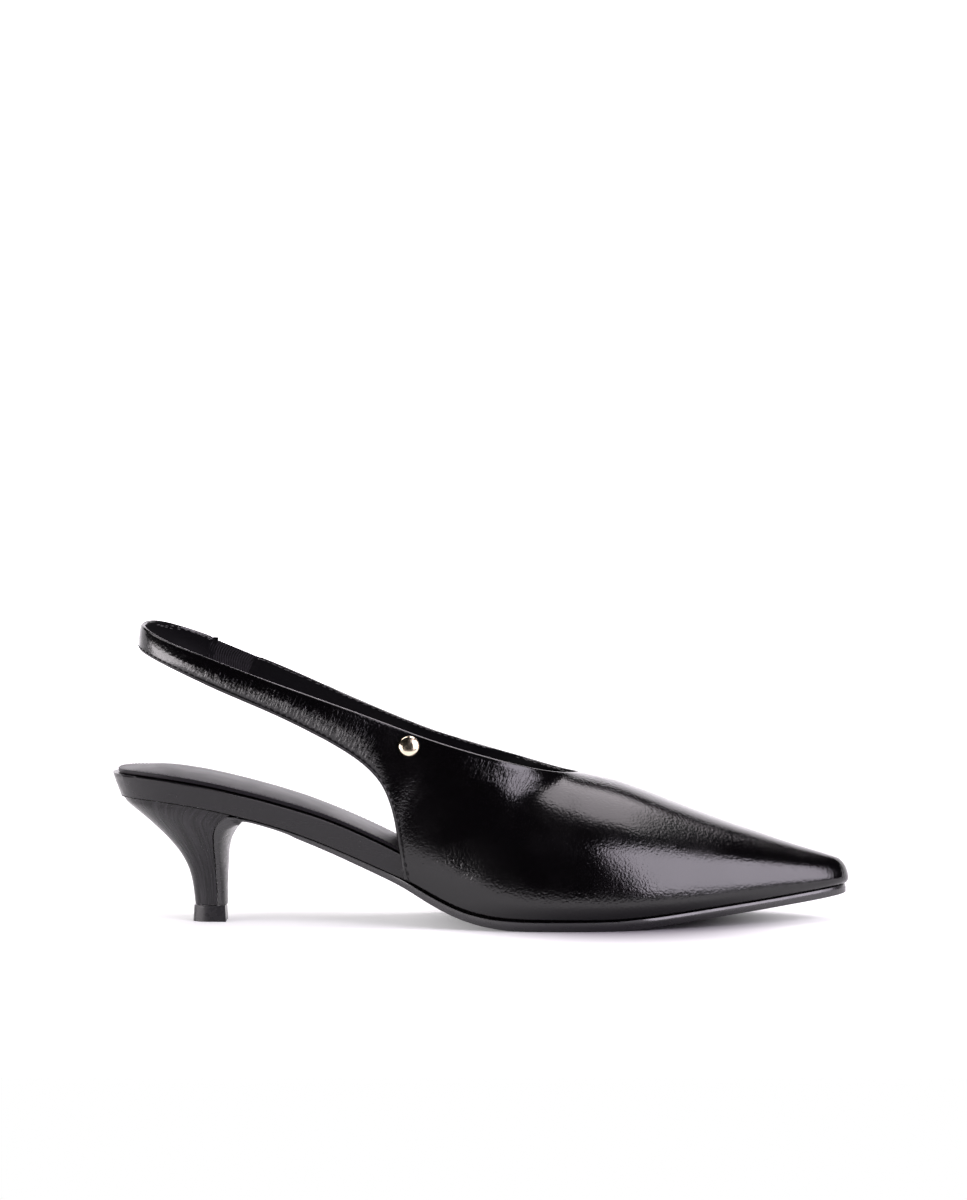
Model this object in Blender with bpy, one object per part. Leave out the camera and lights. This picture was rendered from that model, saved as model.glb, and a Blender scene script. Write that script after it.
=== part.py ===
"""A right-foot slingback pump with a pointed toe and a kitten heel.

Sizes are millimetres, turned to metres where a mesh is made. While modelling, x runs from the back of
the heel seat to the toe, y from the outer (lateral) side to the inner (medial) side, and z up from the
floor. The frame empty then puts the origin on the floor, under the middle of the shoe.
"""

import math
from collections import namedtuple

import bmesh
import bpy
from mathutils import Matrix, Vector

MM = 0.001
GAP = 0.3

# Driving sizes: the upper's wall, how it covers the board's edge, the board's drawn-in underside, the
# outsole's lip past the upper and how far the toe's tip lies towards the inner side
WALL = 1.8
COVER = GAP + WALL
BOARD_TAPER = 2.8
BOARD_TAPER_FRONT = 0.4
SOLE_LIP = 0.5
TOE_SIDESET = 4.3

# The insole board, which has the outline of the last's bottom: half-widths either side of the heel's
# middle line, and the heights of its top and underside. Rows run from the heel's back to the toe's tip.
Board = namedtuple("Board", "x lateral medial top under")
BOARD = [
    Board(0.2, 0.0, 0.0, 52.5, 44.7),
    Board(1.4, 9.6, 9.6, 52.5, 44.7),
    Board(4.5, 16.0, 16.0, 52.4, 44.6),
    Board(9.0, 20.4, 20.4, 52.2, 44.3),
    Board(15.0, 23.6, 23.6, 51.7, 43.8),
    Board(23.0, 25.8, 25.8, 50.7, 42.9),
    Board(33.0, 26.6, 26.4, 49.1, 41.2),
    Board(47.0, 26.3, 25.5, 45.9, 38.0),
    Board(60.0, 25.4, 23.9, 42.4, 34.3),
    Board(75.0, 24.8, 22.6, 37.7, 28.8),
    Board(90.0, 25.0, 22.0, 31.4, 22.4),
    Board(103.0, 25.9, 22.5, 25.0, 16.6),
    Board(112.0, 27.4, 23.4, 19.8, 11.4),
    Board(122.0, 30.1, 25.2, 14.2, 6.6),
    Board(132.0, 33.0, 27.8, 9.9, 4.2),
    Board(142.0, 35.1, 30.7, 7.5, 3.5),
    Board(152.0, 36.1, 33.3, 6.7, 3.4),
    Board(164.0, 36.0, 34.8, 6.7, 3.4),
    Board(174.0, 34.9, 34.9, 6.8, 3.5),
    Board(186.0, 32.3, 33.8, 7.3, 4.3),
    Board(199.0, 28.0, 31.2, 8.6, 5.7),
    Board(212.0, 22.7, 27.5, 10.1, 7.2),
    Board(225.0, 16.7, 22.9, 11.6, 8.6),
    Board(236.0, 11.2, 18.4, 12.9, 9.9),
    Board(245.5, 6.2, 14.0, 14.1, 11.1),
    Board(251.8, 2.0, 10.4, 14.9, 11.9),
    Board(254.6, -1.3, 7.3, 15.3, 12.3),
    Board(255.4, -TOE_SIDESET, TOE_SIDESET, 15.4, 12.4),
]
WAIST_ROW = 7
REAR_CORNER_ROW = 11
THROAT_ROW = 17
TOE_ROW = len(BOARD) - 1

# The floor side of the outsole, from the heel's breast to the toe.
Tread = namedtuple("Tread", "x z")
TREAD = [
    Tread(47.0, 36.6),
    Tread(60.0, 32.6),
    Tread(75.0, 26.6),
    Tread(90.0, 19.8),
    Tread(103.0, 13.7),
    Tread(112.0, 8.3),
    Tread(122.0, 3.6),
    Tread(132.0, 1.0),
    Tread(142.0, 0.0),
    Tread(174.0, 0.0),
    Tread(186.0, 0.8),
    Tread(199.0, 2.4),
    Tread(212.0, 3.9),
    Tread(225.0, 5.4),
    Tread(236.0, 6.7),
    Tread(245.0, 7.8),
    Tread(251.0, 8.6),
    Tread(257.5, 9.6),
]

# The ridge of the vamp, from the toe's end to the point of the throat.
Ridge = namedtuple("Ridge", "x z")
RIDGE = [
    Ridge(252.3, 22.3),
    Ridge(247.8, 23.9),
    Ridge(237.3, 27.3),
    Ridge(226.8, 30.9),
    Ridge(212.8, 35.8),
    Ridge(198.8, 41.1),
    Ridge(188.3, 45.3),
    Ridge(177.8, 49.1),
    Ridge(164.0, 52.3),
]

# The topline from the throat to where the quarter's rear edge meets the sole: the outer side's
# half-width and height, and how much less and higher the inner side is.
Topline = namedtuple("Topline", "x half inset z rise")
TOPLINE = [
    Topline(164.0, 0.0, 0.0, 52.3, 0.0),
    Topline(158.5, 9.4, 0.0, 53.0, 0.0),
    Topline(152.0, 16.8, 0.1, 54.2, 0.0),
    Topline(145.0, 22.2, 0.3, 55.8, 0.0),
    Topline(137.5, 25.6, 0.5, 57.7, 0.0),
]

# Ribs from the rear corner on the sole up the cut-out and along the sling strap to the heel's back.
# low is the cut-out's edge and the strap's lower edge, top is the topline.
Strap = namedtuple("Strap", "x_low half_low inset_low z_low x_top half_top inset_top z_top rise")
STRAP = [
    Strap(103.0, 25.6, 0.0, 16.7, 129.5, 26.0, 0.8, 59.9, 0.1),
    Strap(101.8, 28.6, 3.3, 23.3, 121.5, 26.1, 1.0, 62.2, 0.2),
    Strap(99.6, 29.0, 2.6, 36.5, 113.3, 25.9, 0.9, 64.8, 0.2),
    Strap(96.4, 28.6, 1.6, 46.6, 105.4, 25.8, 0.6, 67.6, 0.4),
    Strap(92.0, 28.1, 0.9, 53.1, 98.0, 25.9, 0.3, 70.4, 0.5),
    Strap(85.0, 27.9, 0.4, 58.9, 89.7, 26.2, 0.1, 73.4, 0.8),
    Strap(75.0, 27.9, 0.1, 65.0, 79.0, 26.5, 0.0, 77.3, 1.5),
    Strap(62.0, 27.8, 0.0, 71.6, 66.0, 26.8, 0.0, 82.0, 2.7),
    Strap(49.0, 27.2, 0.0, 77.5, 53.0, 26.5, 0.0, 86.7, 3.9),
    Strap(38.0, 25.7, 0.0, 82.2, 41.0, 25.1, 0.0, 91.2, 4.6),
    Strap(28.5, 23.0, 0.0, 86.3, 31.0, 22.6, 0.0, 95.0, 4.9),
    Strap(20.5, 18.8, 0.0, 89.8, 22.2, 18.5, 0.0, 98.2, 4.8),
    Strap(14.2, 13.1, 0.0, 92.6, 15.4, 12.8, 0.0, 101.2, 3.8),
    Strap(10.2, 6.9, 0.0, 94.5, 11.4, 6.7, 0.0, 103.4, 1.8),
    Strap(8.8, 0.0, 0.0, 95.5, 10.1, 0.0, 0.0, 104.5, 0.0),
]
BACK_RIB = len(STRAP) - 1

# How the upper's wall swells from the sole's edge, up to which share of its height, and how it turns
# over to the ridge. The wall is fullest higher up at the waist than at the ball.
TOE_SWELL = 1.5
BALL_SWELL = 2.2
WAIST_SWELL = 1.4
WAIST_SHARE = 0.28
BALL_SHARE = 0.125
TOE_SHARE = 0.19
LEAST_TURN = math.radians(30.0)
ROWS_BELOW_SWELL = 2
ROWS_ABOVE_SWELL = 9

# Columns of the upper's mesh between the toe, the throat, the rear corner and the heel's back
VAMP_COLUMNS = 24
QUARTER_COLUMNS = 10
STRAP_COLUMNS_PER_RIB = 2

# The elastic gore in the inner strap, by its ribs, and how it sits in the wall
GORE_FRONT_RIB = 8.2
GORE_REAR_RIB = 9.7
GORE_COLUMNS = 8
GORE_THICKNESS = 1.1
GORE_LOW_SHARE = 0.05
GORE_TOP_SHARE = 0.95
GORE_END_SHARE = 0.025

# The heel, from its base to its seat: share of its height, places of its back and front, half-width
Heel = namedtuple("Heel", "rise back front half")
HEEL = [
    Heel(0.00, 28.9, 36.9, 5.7),
    Heel(0.15, 28.3, 36.7, 6.1),
    Heel(0.30, 27.1, 36.5, 7.2),
    Heel(0.45, 24.4, 36.3, 9.2),
    Heel(0.60, 19.9, 36.0, 12.2),
    Heel(0.72, 15.3, 35.9, 15.2),
    Heel(0.82, 11.0, 36.3, 18.0),
    Heel(0.90, 7.2, 37.6, 20.4),
    Heel(0.96, 4.5, 39.8, 22.4),
    Heel(1.00, 3.1, 42.5, 23.5),
]
HEEL_BASE = 5.9
HEEL_SQUARENESS = 2.7
HEEL_RINGS = 14
HEEL_SIDES = 26

# The outsole's turn down the heel's breast: the height on the heel's side, and the open side's place.
Breast = namedtuple("Breast", "z_heel x z")
BREAST = [
    Breast(38.2, 45.6, 34.8),
    Breast(37.2, 44.3, 33.3),
    Breast(35.6, 43.0, 31.4),
    Breast(33.6, 42.0, 29.4),
    Breast(30.6, 41.2, 26.8),
    Breast(26.0, 40.8, 22.6),
    Breast(20.0, 40.6, 17.6),
    Breast(13.0, 40.4, 12.0),
    Breast(HEEL_BASE, 40.4, HEEL_BASE),
]
BREAST_GAP = 0.4

# Across the outsole: how deep its open side is, flat under the foot and crowned down the heel.
Crown = namedtuple("Crown", "across flat crowned")
CROWN = [
    Crown(1.0, 0.45, 0.3),
    Crown(0.97, 1.0, 0.4),
    Crown(0.75, 1.0, 0.72),
    Crown(0.4, 1.0, 0.93),
    Crown(0.0, 1.0, 1.0),
]

# The top lift under the heel
LIFT_BACK = 28.2
LIFT_FRONT = 40.0
LIFT_HALF = 6.3
LIFT_HEIGHT = 5.6
LIFT_NARROWING = 0.35
LIFT_SQUARENESS = 3.4
LIFT_SIDES = 40
LIFT_CORNER = 1.2
LIFT_CORNER_ANGLE = math.radians(40.0)

# The padded sock lining
SOCK_INSET = 1.9
SOCK_EDGE = 1.3
SOCK_PAD = 2.0
SOCK_PAD_LENGTH = 105.0
SOCK_FRONT_ROW = 25.0
SOCK_ACROSS = 8

# The plain round stud on the outer quarter
STUD_RIB = 2.6
STUD_ROW = 9
STUD_RADIUS = 3.6
STUD_HEIGHT = 2.0
STUD_RIM = 0.7
STUD_STEPS = 24
STUD_RISE_STEPS = 5

LATERAL = -1
MEDIAL = 1


def clamp(value, low, high):
    """Keep a value between two limits."""
    return max(low, min(high, value))


def ease(value, start, end):
    """A smooth step from 0 at start to 1 at end."""
    share = clamp((value - start) / (end - start), 0.0, 1.0)
    return share * share * (3.0 - 2.0 * share)


def mixed(first, second, share):
    """A value part of the way from the first to the second."""
    return first + (second - first) * share


def steps(first, last, count):
    """Evenly spaced values from first to last."""
    return [mixed(first, last, i / count) for i in range(count + 1)]


def through(values, at):
    """A smooth curve through values at whole numbers, with free ends."""
    last = len(values) - 1
    i = int(clamp(math.floor(at), 0, last - 1))
    share = at - i
    p1 = values[i]
    p2 = values[i + 1]
    p0 = values[i - 1] if i > 0 else 2.0 * p1 - p2
    p3 = values[i + 2] if i + 2 <= last else 2.0 * p2 - p1
    slope1 = (p2 - p0) / 2.0
    slope2 = (p3 - p1) / 2.0
    cubic = 2.0 * (p1 - p2) + slope1 + slope2
    square = 3.0 * (p2 - p1) - 2.0 * slope1 - slope2
    return p1 + share * (slope1 + share * (square + share * cubic))


def column(rows, name):
    """One named column of a table."""
    return [getattr(row, name) for row in rows]


def read(rows, key, name, x):
    """A column of a table read at a value of its key, smooth and never past its neighbours."""
    xs = column(rows, key)
    zs = column(rows, name)
    if xs[0] > xs[-1]:
        xs.reverse()
        zs.reverse()
    x = clamp(x, xs[0], xs[-1])
    i = next(k for k in range(len(xs) - 1) if x <= xs[k + 1])
    slopes = [(zs[k + 1] - zs[k]) / (xs[k + 1] - xs[k]) for k in range(len(xs) - 1)]

    def tangent(k):
        before = slopes[max(k - 1, 0)]
        after = slopes[min(k, len(slopes) - 1)]
        if before * after <= 0.0:
            return 0.0
        return 2.0 * before * after / (before + after)

    width = xs[i + 1] - xs[i]
    share = (x - xs[i]) / width
    square = share * share
    cube = square * share
    return (
        (2.0 * cube - 3.0 * square + 1.0) * zs[i]
        + (cube - 2.0 * square + share) * width * tangent(i)
        + (3.0 * square - 2.0 * cube) * zs[i + 1]
        + (cube - square) * width * tangent(i + 1)
    )


def board_top(x):
    """Height of the insole board's top."""
    return read(BOARD, "x", "top", x)


def board_under(x):
    """Height of the insole board's underside."""
    return read(BOARD, "x", "under", x)


def board_taper(x):
    """How far the board's underside is drawn in from its top edge."""
    return mixed(BOARD_TAPER, BOARD_TAPER_FRONT, ease(x, 60.0, 112.0))


def outline(side, row):
    """A point of the last's bottom outline and its outward direction, at a row of the board's table."""
    own = column(BOARD, "lateral" if side == LATERAL else "medial")
    other = column(BOARD, "medial" if side == LATERAL else "lateral")
    xs = column(BOARD, "x")
    xs = [xs[1], *xs, xs[-2]]
    ys = [-other[1], *own, -other[-2]]

    def place(at):
        return Vector((through(xs, at + 1.0), side * through(ys, at + 1.0)))

    span = 0.01
    along = place(row + span) - place(row - span)
    outward = Vector((along.y, -along.x)) * -side
    return place(row), outward.normalized()


def edge(side, row, offset):
    """The last's bottom outline, moved outward by an offset."""
    point, outward = outline(side, row)
    return point + outward * offset


def ridge_y(x):
    """Sideways place of the vamp's ridge, which leads to the toe's tip."""
    return TOE_SIDESET * ease(x, 150.0, 262.0)


def fullest_share(x):
    """Share of the wall's height at which a rib that starts at x is fullest."""
    behind = mixed(WAIST_SHARE, BALL_SHARE, ease(x, 105.0, 155.0))
    return mixed(behind, TOE_SHARE, ease(x, 200.0, 245.0))


def rib_points(low, top, swell, turn):
    """Points of one rib of the upper's wall, from its lower edge to its top.

    The wall moves out by the swell over its lowest part and then turns over to the top like part of an
    ellipse: a turn of a right angle ends level, as at the vamp's ridge.
    """
    rise = top.z - low.z
    fullest = fullest_share(low.x)
    points = []
    for i in range(ROWS_BELOW_SWELL):
        share = i / ROWS_BELOW_SWELL
        place = low + swell * (1.0 - (1.0 - share) ** 2)
        place.z = low.z + rise * fullest * share
        points.append(place)
    swollen = low + swell
    for i in range(ROWS_ABOVE_SWELL + 1):
        angle = turn * i / ROWS_ABOVE_SWELL
        inward = (1.0 - math.cos(angle)) / (1.0 - math.cos(turn))
        upward = math.sin(angle) / math.sin(turn)
        place = swollen.lerp(top, inward)
        place.z = low.z + rise * mixed(fullest, 1.0, upward)
        points.append(place)
    return points


def wall_turn(low, top, swell):
    """How far a rib turns over towards the ridge, from its half-widths at the sole and the topline."""
    middle = ridge_y(top.x)
    full = abs(low.y + swell.y - middle)
    return max(LEAST_TURN, math.acos(clamp(abs(top.y - middle) / full, 0.0, 1.0)))


def standing_swell(side, row):
    """How far and which way the wall stands out past the sole's edge."""
    place, outward = outline(side, row)
    forward = mixed(BALL_SWELL, TOE_SWELL, ease(place.x, 200.0, 250.0))
    return outward.to_3d() * mixed(WAIST_SWELL, forward, ease(place.x, 103.0, 140.0))


def standing_low(side, row):
    """The lower edge of the upper where it stands on the outsole."""
    x = outline(side, row)[0].x
    place = edge(side, row, COVER - board_taper(x))
    return Vector((place.x, place.y, board_under(place.x)))


def vamp_rib(side, row):
    """A rib from the sole's edge to the vamp's ridge, in front of the throat."""
    low = standing_low(side, row)
    back = BOARD[THROAT_ROW].x
    share = (outline(side, row)[0].x - back) / (BOARD[TOE_ROW].x - back)
    x = mixed(RIDGE[-1].x, RIDGE[0].x, share)
    top = Vector((x, ridge_y(x), read(RIDGE, "x", "z", x)))
    return rib_points(low, top, standing_swell(side, row), math.pi / 2.0)


def topline_point(side, at):
    """A point of the topline: whole numbers are its rows, and the strap's ribs follow on."""
    xs = column(TOPLINE, "x") + column(STRAP, "x_top")
    halves = column(TOPLINE, "half") + column(STRAP, "half_top")
    zs = column(TOPLINE, "z") + column(STRAP, "z_top")
    if side == MEDIAL:
        insets = column(TOPLINE, "inset") + column(STRAP, "inset_top")
        rises = column(TOPLINE, "rise") + column(STRAP, "rise")
        halves = [half - inset for half, inset in zip(halves, insets)]
        zs = [z + rise for z, rise in zip(zs, rises)]
    x = through(xs, at)
    middle = ridge_y(x) * (1.0 - ease(at, 0.0, len(TOPLINE)))
    return Vector((x, middle + side * through(halves, at), through(zs, at)))


def quarter_rib(side, share):
    """A rib from the sole's edge to the topline, between the throat and the rear corner on the sole."""
    row = mixed(THROAT_ROW, REAR_CORNER_ROW, share)
    low = standing_low(side, row)
    top = topline_point(side, share * len(TOPLINE))
    swell = standing_swell(side, row)
    return rib_points(low, top, swell, wall_turn(low, top, swell))


def strap_low(side, rib):
    """A point of the cut-out's edge or the strap's lower edge."""
    corner = standing_low(side, REAR_CORNER_ROW)
    xs = [corner.x, *column(STRAP, "x_low")[1:]]
    halves = [abs(corner.y), *column(STRAP, "half_low")[1:]]
    zs = [corner.z, *column(STRAP, "z_low")[1:]]
    if side == MEDIAL:
        halves = [half - inset for half, inset in zip(halves, column(STRAP, "inset_low"))]
        zs = [z + rise for z, rise in zip(zs, [0.0, *column(STRAP, "rise")[1:]])]
    return Vector((through(xs, rib), side * through(halves, rib), through(zs, rib)))


def strap_rib(side, rib):
    """A rib across the rear of the quarter or across the sling strap."""
    low = strap_low(side, rib)
    top = topline_point(side, len(TOPLINE) + rib)
    swell = standing_swell(side, REAR_CORNER_ROW) * (1.0 - ease(rib, 0.0, 1.0))
    return rib_points(low, top, swell, wall_turn(low, top, swell))


def material(name, colour, roughness, metallic=0.0):
    """A plain surface finish."""
    made = bpy.data.materials.new(name)
    made.use_nodes = True
    shader = made.node_tree.nodes["Principled BSDF"]
    shader.inputs["Base Color"].default_value = (*colour, 1.0)
    shader.inputs["Roughness"].default_value = roughness
    shader.inputs["Metallic"].default_value = metallic
    return made


def add_piece(name, mesh_builder, finish, frame, sharp_degrees=35.0):
    """Turn a bmesh in millimetres into a named object in metres, hung on the frame."""
    mesh_builder.normal_update()
    bmesh.ops.recalc_face_normals(mesh_builder, faces=mesh_builder.faces)
    bmesh.ops.scale(mesh_builder, vec=(MM, MM, MM), verts=mesh_builder.verts)
    mesh = bpy.data.meshes.new(name)
    mesh_builder.to_mesh(mesh)
    mesh_builder.free()
    mesh.materials.append(finish)
    mesh.shade_smooth()
    mesh.set_sharp_from_angle(angle=math.radians(sharp_degrees))
    piece = bpy.data.objects.new(name, mesh)
    bpy.context.scene.collection.objects.link(piece)
    piece.parent = frame
    return piece


def add_columns(builder, columns, closed_rows=False):
    """Faces between neighbouring columns of points; returns the columns' vertices."""
    made = [[builder.verts.new(point) for point in points] for points in columns]
    for first, second in zip(made, made[1:]):
        count = len(first)
        for i in range(count if closed_rows else count - 1):
            j = (i + 1) % count
            builder.faces.new((first[i], first[j], second[j], second[i]))
    return made


def loft(rings):
    """A solid through closed rings of points, with both ends capped."""
    builder = bmesh.new()
    made = add_columns(builder, rings, closed_rows=True)
    builder.faces.new(made[0])
    builder.faces.new(list(reversed(made[-1])))
    return builder


def thicken(builder, thickness, keep_level=()):
    """Give a sheet its wall, inward from its outer face, with its rims closed."""
    builder.normal_update()
    outer = list(builder.faces)
    rim = [e for e in builder.edges if e.is_boundary]
    inner_of = {}
    for vert in list(builder.verts):
        inward = vert.normal * -thickness
        if vert in keep_level:
            inward.z = 0.0
        inner_of[vert] = builder.verts.new(vert.co + inward)
    for face in outer:
        builder.faces.new([inner_of[v] for v in reversed(face.verts)])
    for border in rim:
        loop = border.link_loops[0]
        start = loop.vert
        end = loop.link_loop_next.vert
        builder.faces.new((end, start, inner_of[start], inner_of[end]))


def strap_columns(side):
    """Rib numbers of the strap's mesh columns, in runs that the gore parts on the inner side."""
    last = BACK_RIB * STRAP_COLUMNS_PER_RIB
    ribs = [i / STRAP_COLUMNS_PER_RIB for i in range(1, last + 1)]
    if side == LATERAL:
        return [ribs]
    front = [r for r in ribs if r < GORE_FRONT_RIB - 0.2] + [GORE_FRONT_RIB]
    rear = [GORE_REAR_RIB] + [r for r in ribs if r > GORE_REAR_RIB + 0.2]
    return [front, rear]


def make_upper(finish, frame):
    """The hollow upper: vamp, quarters and sling strap in one wall, open below, on top and behind."""
    builder = bmesh.new()
    standing = []
    for side in (LATERAL, MEDIAL):
        rows = steps(TOE_ROW, THROAT_ROW, VAMP_COLUMNS)
        columns = [vamp_rib(side, row) for row in rows]
        shares = steps(0.0, 1.0, QUARTER_COLUMNS)[1:]
        columns += [quarter_rib(side, share) for share in shares]
        runs = strap_columns(side)
        columns += [strap_rib(side, rib) for rib in runs[0]]
        made = add_columns(builder, columns)
        standing += [points[0] for points in made[: VAMP_COLUMNS + QUARTER_COLUMNS + 1]]
        for run in runs[1:]:
            add_columns(builder, [strap_rib(side, rib) for rib in run])
    bmesh.ops.remove_doubles(builder, verts=builder.verts, dist=0.01)
    bmesh.ops.recalc_face_normals(builder, faces=builder.faces)
    point_outward(builder)
    thicken(builder, WALL, {v for v in standing if v.is_valid})
    return add_piece("upper", builder, finish, frame)


def point_outward(builder):
    """Turn a sheet's faces so that they look away from the inside of the shoe."""
    builder.normal_update()
    widest = max(builder.faces, key=lambda face: face.calc_center_median().y)
    if widest.normal.y < 0.0:
        bmesh.ops.reverse_faces(builder, faces=builder.faces)


def make_gore(finish, frame):
    """The elastic let into the inner strap, a little narrower and thinner than the leather."""
    builder = bmesh.new()
    start = GORE_FRONT_RIB + GORE_END_SHARE
    end = GORE_REAR_RIB - GORE_END_SHARE
    columns = []
    for rib in steps(start, end, GORE_COLUMNS):
        points = strap_rib(MEDIAL, rib)
        low = points[0].lerp(points[-1], GORE_LOW_SHARE)
        top = points[0].lerp(points[-1], GORE_TOP_SHARE)
        points[0] = low
        points[-1] = top
        kept = points[:1] + points[ROWS_BELOW_SWELL:-1:3] + points[-1:]
        columns.append(kept)
    add_columns(builder, columns)
    bmesh.ops.recalc_face_normals(builder, faces=builder.faces)
    point_outward(builder)
    builder.normal_update()
    inward = (WALL - GORE_THICKNESS) / 2.0
    for vert in builder.verts:
        vert.co = vert.co - vert.normal * inward
    thicken(builder, GORE_THICKNESS)
    return add_piece("elastic_gore", builder, finish, frame)


def plate_ring(lateral_top, medial_top, lateral_low, medial_low, rounding):
    """A ring across a plate: its top, its rounded edges and its underside."""
    across = medial_top - lateral_top
    rounding = min(rounding, across.length / 4.0)
    across.normalize()
    down = Vector((0.0, 0.0, rounding))
    return [
        lateral_top + across * rounding,
        lateral_top.lerp(medial_top, 0.5),
        medial_top - across * rounding,
        medial_top - down,
        medial_low,
        medial_low.lerp(lateral_low, 0.5),
        lateral_low,
        lateral_top - down,
    ]


def make_insole_board(finish, frame):
    """The wrapped board: the last's bottom, thick and drawn in below where its side shows."""
    rings = []
    for row in steps(0.12, TOE_ROW - 0.12, 54):
        ring = []
        for side in (LATERAL, MEDIAL):
            top = edge(side, row, 0.0)
            low = edge(side, row, -board_taper(top.x))
            ring.append(Vector((top.x, top.y, board_top(top.x))))
            ring.append(Vector((low.x, low.y, board_under(low.x))))
        lateral_top, lateral_low, medial_top, medial_low = ring
        rings.append(plate_ring(lateral_top, medial_top, lateral_low, medial_low, 0.7))
    return add_piece("insole_board", loft(rings), finish, frame)


def sock_pad(x, across):
    """Height of the sock's padding, which swells under the heel and fades towards the ball."""
    along = ease(x, 2.0, 22.0) * (1.0 - ease(x, SOCK_PAD_LENGTH - 45.0, SOCK_PAD_LENGTH))
    return SOCK_PAD * along * (1.0 - abs(across) ** 2.5)


def make_sock(finish, frame):
    """The padded sock lining, set in from the board's edge."""
    rings = []
    for row in steps(0.35, SOCK_FRONT_ROW, 44):
        lateral = edge(LATERAL, row, -SOCK_INSET)
        medial = edge(MEDIAL, row, -SOCK_INSET)
        top = []
        under = []
        for share in steps(0.0, 1.0, SOCK_ACROSS):
            place = lateral.lerp(medial, share)
            across = 2.0 * share - 1.0
            base = board_top(place.x) + GAP
            thick = SOCK_EDGE + sock_pad(place.x, across)
            top.append(Vector((place.x, place.y, base + thick)))
            under.append(Vector((place.x, place.y, base)))
        under = [under[-1], under[len(under) // 2], under[0]]
        rings.append(top + under)
    return add_piece("sock", loft(rings), finish, frame)


def outsole_edge(side, row):
    """The outsole's edge: under the board's drawn-in side at the waist, then a lip past the upper."""
    x = outline(side, row)[0].x
    cover = COVER * ease(x, 97.0, 106.0)
    return edge(side, row, cover - board_taper(x) + SOLE_LIP * ease(x, 97.0, 120.0))


def sole_ring(inner, outer, inner_sides, outer_sides, crown):
    """A ring across the outsole.

    inner and outer are the middles of its two faces in side view, the sides are their ends across the
    shoe from lateral to medial, and crown is 0 for a flat open face and 1 for a crowned one.
    """
    ring = [Vector((inner.x, mixed(*inner_sides, share), inner.y)) for share in (0.0, 0.5, 1.0)]
    turned = [(row.across, row) for row in CROWN] + [(-row.across, row) for row in reversed(CROWN[:-1])]
    for across, row in turned:
        depth = mixed(row.flat, row.crowned, crown)
        place = inner.lerp(outer, depth)
        sides = [mixed(near, far, depth) for near, far in zip(inner_sides, outer_sides)]
        ring.append(Vector((place.x, mixed(*sides, (1.0 + across) / 2.0), place.y)))
    return ring


def make_outsole(finish, frame):
    """The outsole: a thin plate from the toe to the waist, turned down the heel's breast as a flap."""
    rings = []
    for row in steps(TOE_ROW - 0.12, WAIST_ROW, 44):
        lateral = outsole_edge(LATERAL, row)
        medial = outsole_edge(MEDIAL, row)
        x = (lateral.x + medial.x) / 2.0
        inner = Vector((x, board_under(x) - GAP))
        outer = Vector((x, read(TREAD, "x", "z", x)))
        sides = (lateral.y, medial.y)
        rings.append(sole_ring(inner, outer, sides, sides, 0.0))
    for number, turn in enumerate(BREAST):
        inner = Vector((heel_front(turn.z_heel) + BREAST_GAP, turn.z_heel))
        outer = Vector((turn.x, turn.z))
        inner_half = heel_front_half(turn.z_heel)
        outer_half = heel_front_half(turn.z)
        crown = ease(number, -1.0, 4.0)
        rings.append(sole_ring(inner, outer, (-inner_half, inner_half), (-outer_half, outer_half), crown))
    return add_piece("outsole", loft(rings), finish, frame)


def heel_seat(x):
    """Height of the heel's top, which follows the board's underside."""
    return board_under(x) - GAP


def heel_rise(z):
    """Share of the heel's height at its front face."""
    return clamp((z - HEEL_BASE) / (heel_seat(HEEL[-1].front) - HEEL_BASE), 0.0, 1.0)


def heel_front(z):
    """Place of the heel's front face at a height."""
    return read(HEEL, "rise", "front", heel_rise(z))


def heel_front_half(z):
    """Half-width of the heel's front face at a height."""
    return read(HEEL, "rise", "half", heel_rise(z))


def d_shape(front, back, half, squareness, sides):
    """A flat-fronted outline with a full round back, from the outer front corner to the inner one."""
    power = 2.0 / squareness
    points = []
    for angle in steps(0.0, math.pi, sides):
        deep = max(math.sin(angle), 0.0) ** power
        wide = math.copysign(abs(math.cos(angle)) ** power, math.cos(angle))
        points.append(Vector((front - (front - back) * deep, -half * wide)))
    return points


def make_heel(finish, frame):
    """The kitten heel: rings from the slender base to the seat, each a D with a flat breast."""
    seat = d_shape(HEEL[-1].front, HEEL[-1].back, HEEL[-1].half, HEEL_SQUARENESS, HEEL_SIDES)
    rings = []
    for rise in steps(0.0, 1.0, HEEL_RINGS):
        front, back, half = (read(HEEL, "rise", name, rise) for name in ("front", "back", "half"))
        ring = []
        for place, above in zip(d_shape(front, back, half, HEEL_SQUARENESS, HEEL_SIDES), seat):
            ring.append(Vector((place.x, place.y, mixed(HEEL_BASE, heel_seat(above.x), rise))))
        rings.append(ring)
    return add_piece("heel", loft(rings), finish, frame)


def make_top_lift(finish, frame):
    """The hard tip under the heel, a little wider at the floor, with its front corners rounded."""
    rings = []
    for z, less in ((0.0, 0.0), (LIFT_HEIGHT, LIFT_NARROWING)):
        ends = (LIFT_FRONT - less, LIFT_BACK + less, LIFT_HALF - less)
        flat = d_shape(*ends, LIFT_SQUARENESS, LIFT_SIDES)
        rings.append([Vector((point.x, point.y, z)) for point in flat])
    builder = loft(rings)
    upright = [e for e in builder.edges if abs(e.verts[0].co.z - e.verts[1].co.z) > LIFT_HEIGHT / 2.0]
    corners = [e for e in upright if e.calc_face_angle(0.0) > LIFT_CORNER_ANGLE]
    bmesh.ops.bevel(
        builder, geom=corners, offset=LIFT_CORNER, offset_type="OFFSET", segments=3, profile=0.5,
        affect="EDGES", material=-1,
    )
    return add_piece("top_lift", builder, finish, frame)


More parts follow.
